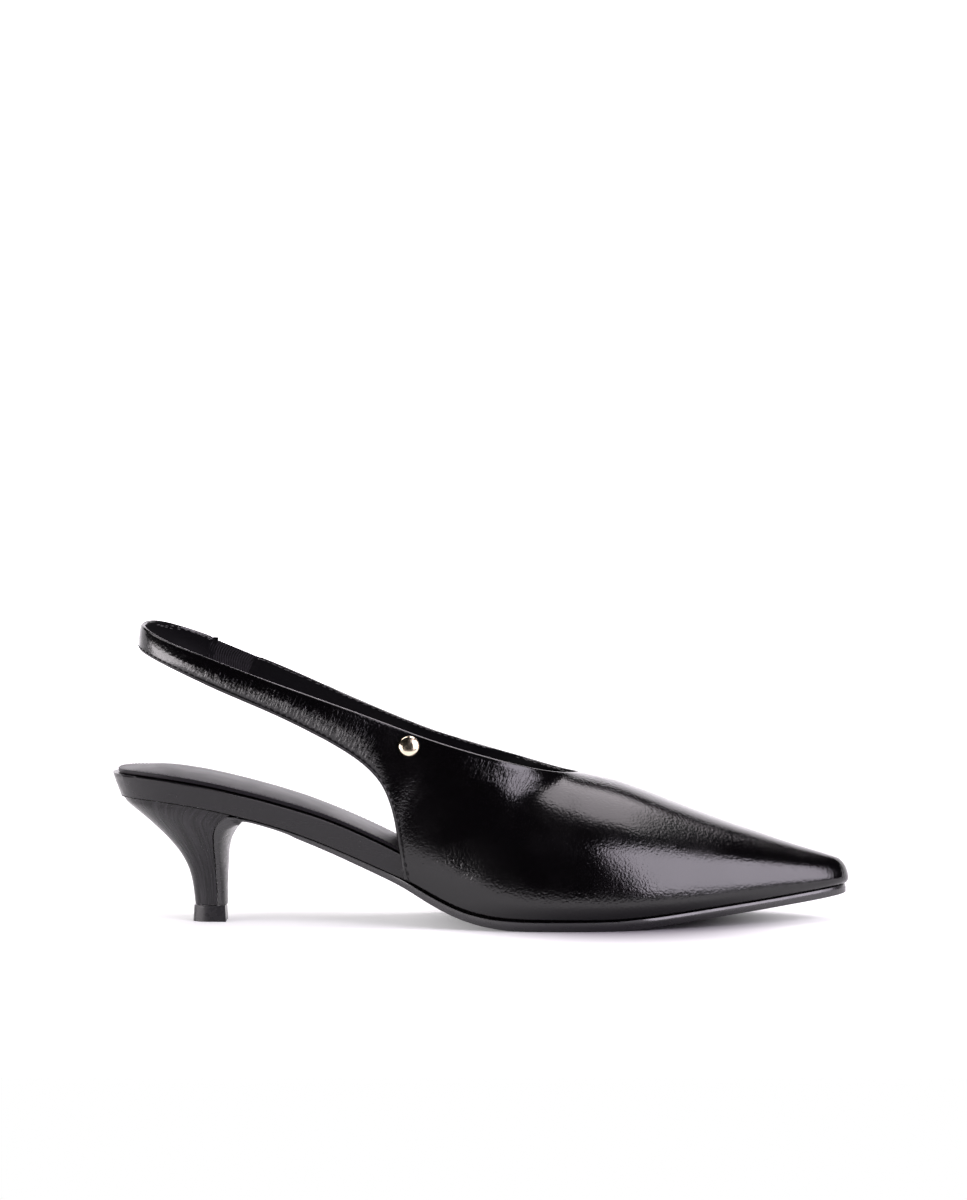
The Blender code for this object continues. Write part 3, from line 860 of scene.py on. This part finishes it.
@dataclass(frozen=True)
class EndBand:
    """A folded band over a joint of strap and gore, on the lining side; height and middle are shares."""

    width: float = 3.2 * MM
    height: float = 0.84
    middle: float = 0.53
    shift: float = 0.1
    inset: float = 1.5 * MM
    gap: float = 0.12 * MM
    thickness: float = 0.4 * MM

    def lay(self, builder: BMesh, joint: tuple[Vector, Vector], ahead: float,
            walls: tuple[BVHTree, BVHTree]) -> None:
        """Lay the band against the inside of the walls, not yet thick.

        Args:
            builder: mesh that takes the band.
            joint: lower and upper end of the joint.
            ahead: 1 if the gore lies in front of the joint, -1 if it lies behind.
            walls: surfaces of the upper and of the gore.
        """
        low, top = joint
        for vert in bmesh.ops.create_grid(builder, x_segments=4, y_segments=14, size=0.5)["verts"]:
            start = low.lerp(top, self.middle + self.height * vert.co.y)
            start.x += (vert.co.x + self.shift * ahead) * self.width
            beside = walls[0].find_nearest(start - Vector((0.0, self.inset, 0.0)))[0]
            start.y = 0.0
            hits = [wall.ray_cast(start, Vector((0.0, 1.0, 0.0)))[0] for wall in walls]
            reach = min((hit.y for hit in hits if hit is not None), default=beside.y)
            vert.co = Vector((start.x, reach - self.gap, start.z))


@dataclass
class Upper(Piece):
    """The hollow upper: leather outside, lining inside, folded edges, stitches and crinkles.

    The leather's patch takes in the rim under the strap, so its lower edges lie on the lining side.
    Limits that sort the edges and the ends of the top stitches are millimetres from the heel's back.
    """

    node: str = "upper"
    finish: Finish = LEATHER
    rounding: float = 0.75 * MM
    rounding_steps: int = 3
    sole_rounding: float = 0.1 * MM
    sole_reach: float = 6 * MM
    lining: Finish = LINING
    folded: Finish = FOLD
    thread: Finish = THREAD
    top_thread: Finish = WAXED_THREAD
    wear: Wear = Wear()
    band: EndBand = EndBand()
    corner: float = math.radians(40)
    least_length: float = 25 * MM
    toe_limit: float = 220.0
    heel_limit: float = 20.0
    throat_limit: float = 140.0
    groove: float = 0.35 * MM
    edge_strip: float = 1.5 * MM
    low_margin: float = 2.8 * MM
    low_width: float = 0.4 * MM
    low_side: float = -1.25 * MM
    top_margin: float = 1.7 * MM
    top_pitch: float = 2.5 * MM
    top_side: float = -2.6 * MM
    top_back: float = 12.0
    top_front: float = 72.0
    edges: dict[Edge, list[EdgePoint]] = field(default_factory=dict)

    def find_edges(self, outside: set[BMFace]) -> None:
        """Sort the stretches of the upper's edge.

        Args:
            outside: faces of the leather side.
        """
        for section in EdgeLoop(outside).sections(self.corner):
            places = [p.place for p in section]
            length = sum((b - a).length for a, b in zip(places, places[1:]))
            if length < self.least_length:
                continue
            back, front = min(p.x for p in places), max(p.x for p in places)
            topline = front > from_heel(self.throat_limit)
            if front > from_heel(self.toe_limit):
                kind = Edge.SOLE
            elif back < from_heel(self.heel_limit):
                kind = Edge.TOP_LATERAL if topline else Edge.LOW_LATERAL
            else:
                kind = Edge.TOP_MEDIAL if topline else Edge.LOW_MEDIAL
            self.edges[kind] = section

    def fold(self, builder: BMesh) -> None:
        """Round the wall's edges and sink a groove between them, where leather and lining meet.

        Args:
            builder: mesh of the upper, its faces sorted by side.
        """
        rim = Side.RIM.value
        across = [e for e in builder.edges if all(f.material_index == rim for f in e.link_faces)]
        bmesh.ops.subdivide_edges(builder, edges=across, cuts=1, use_grid_fill=True)
        builder.normal_update()
        for vert in builder.verts:
            if all(f.material_index == rim for f in vert.link_faces):
                vert.co -= vert.normal * self.groove
        along = [e for e in builder.edges if len({f.material_index == rim for f in e.link_faces}) == 2]
        sole = self.tree((Edge.SOLE,))
        standing = {e for e in along if sole.find(e.verts[0].co.lerp(e.verts[1].co, 0.5))[2] < self.sole_reach}
        rounded(builder, [e for e in along if e not in standing], self.rounding, self.rounding_steps, False)
        rounded(builder, [e for e in standing if e.is_valid], self.sole_rounding)

    def tree(self, kinds: Iterable[Edge]) -> KDTree:
        """Gather close points along stretches of the edge."""
        return gathered([p.place for kind in kinds for p in walked(self.edges[kind], FINE_STEP)])

    def wear_in(self, builder: BMesh) -> None:
        """Write down where the leather is crinkled and stitched, and bend the strap with its edges.

        All sides of the wall move along the leather's normals, so that the wall keeps its thickness.

        Args:
            builder: smooth mesh of the upper.
        """
        crinkle = builder.verts.layers.float.new("crinkle")
        margin = builder.verts.layers.float.new("margin")
        low = self.tree((Edge.LOW_LATERAL, Edge.LOW_MEDIAL))
        top = self.tree((Edge.TOP_LATERAL, Edge.TOP_MEDIAL))
        leather = [v for v in builder.verts
                   if all(f.material_index == Side.LEATHER.value for f in v.link_faces)
                   and min(low.find(v.co)[2], top.find(v.co)[2]) > self.edge_strip]
        outside = gathered([v.co for v in leather])
        moves = []
        for vert in builder.verts:
            to_low, to_top = low.find(vert.co)[2], top.find(vert.co)[2]
            vert[margin] = to_low / MM
            vert[crinkle] = self.wear.crinkle(vert.co, to_low, to_top)
            rise = self.wear.rise(vert.co, to_low / (to_low + to_top))
            near = outside.find_n(vert.co, 4) if rise else []
            moves.append(sum((leather[i].normal for _, i, _ in near), Vector()).normalized() * rise)
        before = gathered([v.co for v in builder.verts])
        for kind, points in self.edges.items():
            self.edges[kind] = [replace(p, place=p.place + moves[before.find(p.place)[1]]) for p in points]
        for vert, move in zip(builder.verts, moves):
            vert.co += move

    def shape(self) -> BMesh:
        """Fold the edges, smooth the wall and bend the strap.

        Returns:
            The mesh of the upper.
        """
        builder = copied(self.node)
        first, second, *rest = patches(builder)
        reach = [min(v.co.y for f in patch for v in f.verts) for patch in (first, second)]
        outside, inside = (first, second) if reach[0] < reach[1] else (second, first)
        for side, faces in ((Side.LEATHER, outside), (Side.LINING, inside), (Side.RIM, set().union(*rest))):
            for face in faces:
                face.material_index = side.value
        self.find_edges(outside)
        self.fold(builder)
        builder = smoothed(builder, self.levels)
        self.wear_in(builder)
        builder.normal_update()
        return builder

    def gore_end(self, kind: Edge) -> Vector:
        """Pick the end of a stretch of the edge that is at the gore.

        Args:
            kind: stretch of the edge.

        Returns:
            The end nearer to the gore's middle.
        """
        low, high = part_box("elastic_gore")
        ends = (self.edges[kind][0].place, self.edges[kind][-1].place)
        return min(ends, key=lambda end: (end - (low + high) / 2).length)

    def end_bands(self, ground: BVHTree) -> BMesh:
        """Lay a folded band over each joint of strap and gore.

        Args:
            ground: surface of the upper.

        Returns:
            The mesh of both bands.
        """
        walls = (ground, surface_of("elastic_gore"))
        builder = bmesh.new()
        for lower, upper, ahead in ((Edge.LOW_LATERAL, Edge.TOP_LATERAL, 1.0),
                                    (Edge.LOW_MEDIAL, Edge.TOP_MEDIAL, -1.0)):
            self.band.lay(builder, (self.gore_end(lower), self.gore_end(upper)), ahead, walls)
        bmesh.ops.solidify(builder, geom=builder.faces[:], thickness=self.band.thickness)
        bmesh.ops.recalc_face_normals(builder, faces=builder.faces)
        return smoothed(builder, self.levels)

    def build(self) -> list[Object]:
        """Make the upper, its stitches and the bands at the gore.

        Returns:
            The upper, the stitches on both sides and the bands.
        """
        builder = self.shape()
        ground = BVHTree.FromBMesh(builder)
        leather, lining, folded = (f.material() for f in (self.finish, self.lining, self.folded))
        wall = placed("upper_shown", builder, [leather, lining, folded])
        rows = [StitchRow(self.edges[kind], self.low_margin, width=self.low_width, above=self.low_side)
                for kind in (Edge.LOW_LATERAL, Edge.LOW_MEDIAL)]
        stitches = sewn("upper_stitches", rows, ground, self.thread)
        behind = [p for p in self.edges[Edge.TOP_LATERAL]
                  if p.place.y > 0 and p.place.x > from_heel(self.top_back)]
        before = [p for p in self.edges[Edge.TOP_MEDIAL] if p.place.x < from_heel(self.top_front)]
        top_rows = [StitchRow(path, self.top_margin, self.top_pitch, above=self.top_side)
                    for path in (behind, before)]
        top_stitches = sewn("strap_top_stitches", top_rows, ground, self.top_thread)
        bands = placed("strap_end_bands", self.end_bands(ground), [lining])
        return [self.declare(piece) for piece in (wall, stitches, top_stitches, bands)]


@dataclass
class ElasticGore(Piece):
    """The ribbed elastic in the sling strap."""

    node: str = "elastic_gore"
    finish: Finish = ELASTIC
    levels: int = 1
    rib: float = 0.8 * MM
    rib_steps: int = 4
    relief: float = 0.2 * MM
    lengthwise: float = 0.75

    def shape(self) -> BMesh:
        """Divide the strip along its length, raise its ribs and store the rib wave that drives their painted
        shade and highlight.

        Returns:
            The mesh of the gore.
        """
        builder = copied(self.node)
        low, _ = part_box(self.node)
        long = [e for e in builder.edges
                if abs(e.verts[0].co.x - e.verts[1].co.x) > self.lengthwise * e.calc_length()]
        steps = math.ceil(max(e.calc_length() for e in long) / (self.rib / self.rib_steps))
        bmesh.ops.subdivide_edges(builder, edges=long, cuts=steps - 1, use_grid_fill=True)
        builder.normal_update()
        # the rib value drives painted shade in the grooves and a painted highlight on the crests of the elastic
        shade = builder.verts.layers.float.new("rib")
        for vert in builder.verts:
            wave = math.cos(2 * math.pi * (vert.co.x - low.x) / self.rib)
            vert[shade] = 0.5 + 0.5 * wave
            vert.co += vert.normal * (self.relief * wave * abs(vert.normal.y))
        return smoothed(builder, self.levels)


@dataclass
class Outsole(Piece):
    """The thin sole, whose lip slopes back where it shows under the vamp; ramps run from the heel's back."""

    node: str = "outsole"
    finish: Finish = SOLE
    rounding: float = 0.5 * MM
    lip: float = 0.9 * MM
    lip_reach: float = 1.5
    lip_slope: float = math.tan(math.radians(20))
    lip_back: Ramp = Ramp(183.0, 191.0)
    rise: float = 0.2 * MM
    rise_back: Ramp = Ramp(100.0, 125.0)

    def shape(self) -> BMesh:
        """Raise the sole against the vamp, smooth it and slope its lip back.

        Returns:
            The mesh of the sole.
        """
        builder = copied(self.node)
        top = top_patch(builder)
        rim = list(walked(EdgeLoop(top).points, FINE_STEP))
        for vert in {v for f in top for v in f.verts}:
            vert.co.z += self.rise * self.rise_back.at(heel_distance(vert.co))
        rounded(builder, bent_edges(builder), self.rounding)
        builder = smoothed(builder, self.levels)
        near = gathered([p.place for p in rim])
        for vert in builder.verts:
            place, i, gap = near.find(vert.co)
            over = self.lip - (place.z + self.rise - vert.co.z)
            if gap < self.lip_reach * self.lip and over > 0:
                shown = self.lip_back.at(heel_distance(vert.co))
                vert.co += rim[i].inward * min(over, self.lip) * self.lip_slope * shown
        builder.normal_update()
        return builder


@dataclass
class Heel(Piece):
    """The covered heel, whose leather is tucked in under the board and drawn down from there to the tip."""

    node: str = "heel"
    finish: Finish = HEEL_COVER
    rounding: float = 0.9 * MM
    tuck: float = 0.8 * MM
    tuck_depth: Ramp = Ramp(0.4, 2.4)
    upright: float = 0.8
    front: float = 37.5
    flared_front: float = 44.0
    flare: Ramp = Ramp(0.75, 1.0)

    def shape(self) -> BMesh:
        """Round and smooth the heel and write down which way its cover is drawn.

        Returns:
            The mesh of the heel.
        """
        builder = super().shape()
        board = surface_of("insole_board")
        low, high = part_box(self.node)
        flow = builder.verts.layers.float_vector.new("flow")
        for vert in builder.verts:
            depth = board.ray_cast(vert.co, Vector((0.0, 0.0, 1.0)))[3]
            if depth is not None and abs(vert.normal.z) < self.upright:
                inward = Vector((vert.normal.x, vert.normal.y, 0.0))
                vert.co -= inward * self.tuck * (1 - self.tuck_depth.at(depth / MM))
            rise = (vert.co.z - low.z) / (high.z - low.z)
            front = from_heel(mixed(self.front, self.flared_front, self.flare.at(rise)))
            turn = math.atan2(vert.co.y - 0.5 * (low.y + high.y), front - vert.co.x)
            vert[flow] = Vector((turn, rise, 0.0))
        return builder


@dataclass
class Sock(Piece):
    """The padded sock lining with its stitched edge."""

    node: str = "sock"
    finish: Finish = SOCK
    rounding: float = 0.6 * MM
    thread: Finish = WAXED_THREAD
    fill: float = 0.8

    def build(self) -> list[Object]:
        """Make the sock and its edge stitches.

        Returns:
            The sock and the stitches.
        """
        plain = copied(self.node)
        path = EdgeLoop(top_patch(plain)).points
        plain.free()
        builder = self.shape()
        ground = BVHTree.FromBMesh(builder)
        sock = self.declare(placed("sock_shown", builder, [self.finish.material()]))
        row = StitchRow(path + path[:1], margin=1.1 * MM, pitch=1.6 * MM, length=1.1 * MM, width=0.16 * MM)
        return [sock, self.declare(sewn("sock_stitches", [row], ground, self.thread))]


@dataclass(frozen=True)
class Softbox:
    """A rectangular light: its middle, the place that it faces, its size and the brightness of its face."""

    name: str
    place: Place
    aim: Place
    size: Pair
    radiance: float
    colour: Colour

    def hang(self) -> None:
        """Put the light into the scene, out of the camera's sight."""
        lamp = bpy.data.lights.new(self.name, "AREA")
        lamp.shape = "RECTANGLE"
        lamp.size, lamp.size_y = self.size
        lamp.energy = self.radiance * math.pi * self.size[0] * self.size[1]
        lamp.color = self.colour
        thing = bpy.data.objects.new(self.name, lamp)
        thing.location = self.place
        thing.rotation_mode = "QUATERNION"
        thing.rotation_quaternion = (Vector(self.aim) - Vector(self.place)).to_track_quat("-Z", "Y")
        thing.visible_camera = False
        bpy.context.scene.collection.objects.link(thing)


SOFTBOXES = (
    Softbox("overhead", (0.43, 0.31, 1.2), (0.43, 0.31, 0.0), (0.52, 1.12), 4.2, (1.0, 0.93, 0.98)),
    Softbox("overhead_left", (-0.45, 0.1, 1.0), (-0.08, 0.0, 0.09), (0.35, 0.7), 4.0, (1.0, 0.95, 0.98)),
    Softbox("right_front", (0.967, -0.691, 0.58), (0.087, 0.039, 0.05), (1.07, 1.0), 6.8, (0.95, 0.88, 1.0)),
    Softbox("left_low", (-0.698, -0.281, 0.115), (-0.124, 0.024, 0.09), (0.84, 0.23), 10.0, (1.0, 0.95, 0.98)),
)


@dataclass
class Studio:
    """White floor and backdrop, softboxes, and the camera; round the ball of the foot the floor's colour and
    glow are painted darker as a contact shadow.
    """

    floor_front: float = -0.36
    floor_back: float = 1.5
    floor_half: float = 6.0
    paper: Colour = (0.9, 0.9, 0.9)
    paper_roughness: float = 0.9
    # ball, shadow_stretch, shadow_edge and shadow_tint lay a painted contact shadow on the floor round the ball
    # of the foot
    ball: Place = (0.058, 0.0, 0.0)
    shadow_stretch: Triple = (1.2, 1.0, 1.0)
    shadow_edge: Ramp = Ramp(0.03, 0.095)
    shadow_tint: Colour = (0.3, 0.29, 0.31)
    floor_glow: float = 0.35
    backdrop_height: float = 1.2
    backdrop_glow: float = 1.2
    backdrop_tint: Colour = (1.0, 0.96, 1.0)
    background: float = 1.0
    room: float = 0.005
    lights: tuple[Softbox, ...] = SOFTBOXES
    camera_place: Place = (0.0006, -1.3994, 0.16)
    camera_dip: float = 1.947
    focal_length: float = 120.0
    sensor: float = 36.0
    clip: Pair = (0.05, 20.0)

    def surface(self, name: str, low: Vector, high: Vector, shader: Shader) -> None:
        """Make a flat part of the stage, upright and facing the front if it has a height, else lying.

        Args:
            name: name of the object.
            low: its lowest corner.
            high: the opposite corner.
            shader: its material.
        """
        builder = bmesh.new()
        middle, size = (low + high) / 2, high - low
        upright = size.z > 0
        turn = Matrix.Rotation(math.radians(90), 4, "X") if upright else Matrix.Identity(4)
        scale = Matrix.Diagonal((size.x, size.z if upright else size.y, 1.0, 1.0))
        bmesh.ops.create_grid(builder, x_segments=1, y_segments=1, size=0.5,
                              matrix=Matrix.Translation(middle) @ turn @ scale)
        placed(name, builder, [shader.material])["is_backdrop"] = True

    def build_floor(self) -> None:
        """Make the floor, which glows white away from the shoe and is painted darker round the ball as a
        contact shadow.
        """
        floor = Shader("floor_white", self.paper, self.paper_roughness)
        floor.set("Specular IOR Level", 0.0)
        floor.set("Emission Color", (*WHITE, 1.0))
        gap = floor.node("ShaderNodeVectorMath", {0: floor.stretched(self.shadow_stretch), 1: self.ball})
        gap.operation = "DISTANCE"
        # painted shadow: near the ball the floor loses its glow and its colour darkens to the shadow tint
        away = floor.ranged(gap.outputs["Value"], self.shadow_edge, 0.0, 1.0)
        floor.vary("Emission Strength", floor.maths("MULTIPLY", away, self.floor_glow))
        floor.tint(away, self.shadow_tint, self.paper)
        self.surface("floor", Vector((-self.floor_half, self.floor_front, 0.0)),
                     Vector((self.floor_half, self.floor_back, 0.0)), floor)

    def build_backdrop(self) -> None:
        """Make the glowing backdrop at the floor's back edge."""
        back = Shader("backdrop_white", self.paper, self.paper_roughness)
        back.set("Emission Color", (*self.backdrop_tint, 1.0))
        back.set("Emission Strength", self.backdrop_glow)
        self.surface("backdrop", Vector((-self.floor_half, self.floor_back, 0.0)),
                     Vector((self.floor_half, self.floor_back, self.backdrop_height)), back)

    def build_world(self) -> None:
        """Make the surroundings white to the camera and dim to the shoe."""
        world = bpy.data.worlds.new("studio")
        world.use_nodes = True
        nodes, links = world.node_tree.nodes, world.node_tree.links
        nodes.clear()
        chosen, output = nodes.new("ShaderNodeMixShader"), nodes.new("ShaderNodeOutputWorld")
        links.new(nodes.new("ShaderNodeLightPath").outputs["Is Camera Ray"], chosen.inputs["Fac"])
        for slot, strength in ((1, self.room), (2, self.background)):
            sky = nodes.new("ShaderNodeBackground")
            sky.inputs["Color"].default_value = (*WHITE, 1.0)
            sky.inputs["Strength"].default_value = strength
            links.new(sky.outputs["Background"], chosen.inputs[slot])
        links.new(chosen.outputs["Shader"], output.inputs["Surface"])
        bpy.context.scene.world = world

    def build_camera(self) -> None:
        """Set up the camera at the photograph's angle."""
        lens = bpy.data.cameras.new("camera")
        lens.lens, lens.sensor_width = self.focal_length, self.sensor
        lens.clip_start, lens.clip_end = self.clip
        thing = bpy.data.objects.new("camera", lens)
        thing.location = self.camera_place
        thing.rotation_euler = (math.radians(90 - self.camera_dip), 0.0, 0.0)
        bpy.context.scene.collection.objects.link(thing)
        bpy.context.scene.camera = thing

    def build(self) -> None:
        """Make the whole studio."""
        self.build_floor()
        self.build_backdrop()
        for light in self.lights:
            light.hang()
        self.build_world()
        self.build_camera()
        bpy.context.scene.view_settings.view_transform = "Standard"


def main() -> None:
    """Build the pieces in order, then the studio."""
    logging.basicConfig(level=logging.INFO, format="%(name)s: %(message)s")
    parts: list[Piece] = [
        Upper(),
        ElasticGore(),
        Piece("insole_board", RAND, rounding=0.65 * MM),
        Sock(),
        Outsole(),
        Heel(),
        Piece("top_lift", LIFT),
        Piece("stud", GOLD, rounding=0.15 * MM, levels=3),
    ]
    for part in parts:
        for piece in part.build():
            LOG.info("%s: %d faces", piece.name, len(piece.data.polygons))
    Studio().build()
    bpy.context.view_layer.update()
    boxes = {"cad": CAD_BOX, "visual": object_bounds()}
    {name: [list(low), list(high)] for name, (low, high) in boxes.items()}


if __name__ == "__main__":
    main()
